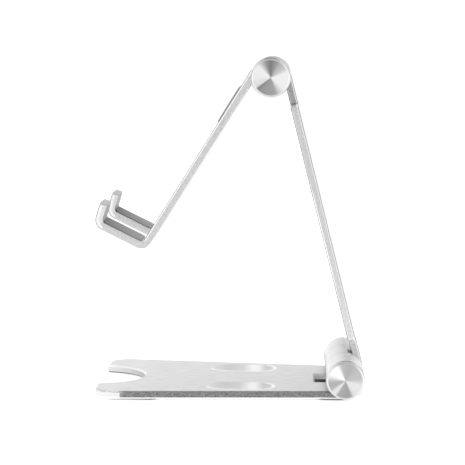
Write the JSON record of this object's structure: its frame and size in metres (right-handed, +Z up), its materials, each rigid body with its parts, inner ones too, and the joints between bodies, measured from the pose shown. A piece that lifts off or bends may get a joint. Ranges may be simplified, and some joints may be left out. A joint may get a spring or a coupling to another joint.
{
  "type": "phone stand",
  "caption": "Folding aluminium desk stand: a notched base plate, a tilting arm on a friction hinge and a hinged holder with padded hooks that cradle a phone.",
  "frame": {"origin": "middle of the standing surface under the whole stand", "axes": "+X to the rear hinge, +Y across the stand along the hinge axes, +Z up"},
  "size_m": [0.1093, 0.0754, 0.1379],
  "materials": {
    "blasted_aluminium": "bead-blasted and clear anodised, with polished chamfers along the edges",
    "turned_aluminium": "face-turned with fine concentric grooves and a polished chamfer ring",
    "silicone": "matt dark grey silicone",
    "steel": "plain zinc-plated steel",
    "nylon": "plain black nylon"
  },
  "bodies": {
    "base": {"base_plate": "blasted_aluminium", "foot_front_near": "silicone", "foot_front_far": "silicone", "foot_rear_near": "silicone", "foot_rear_far": "silicone", "lower_cap_near": "turned_aluminium", "lower_cap_far": "turned_aluminium", "lower_hinge_screw": "steel", "lower_head_washer": "steel", "lower_hinge_nut": "steel", "lower_disc_springs": "steel", "lower_washer_near": "nylon", "lower_washer_far": "nylon"},
    "arm": {"arm_plate": "blasted_aluminium", "lower_bush": "nylon", "upper_bush": "nylon"},
    "holder": {"holder_plate": "blasted_aluminium", "back_pad": "silicone", "hook_pad_near": "silicone", "hook_pad_far": "silicone", "upper_cap_near": "turned_aluminium", "upper_cap_far": "turned_aluminium", "upper_hinge_screw": "steel", "upper_head_washer": "steel", "upper_hinge_nut": "steel", "upper_disc_springs": "steel", "upper_washer_near": "nylon", "upper_washer_far": "nylon"}
  },
  "joints": [
    {"name": "arm_tilt", "type": "hinge", "parent": "base", "child": "arm", "pos_m": [0.04675, 0, 0.0085], "axis": [0, -1, 0], "range_deg": [-90, 30]},
    {"name": "holder_tilt", "type": "hinge", "parent": "arm", "child": "holder", "pos_m": [0.01503, 0, 0.12982], "axis": [0, -1, 0], "range_deg": [-130, 45]}
  ]
}
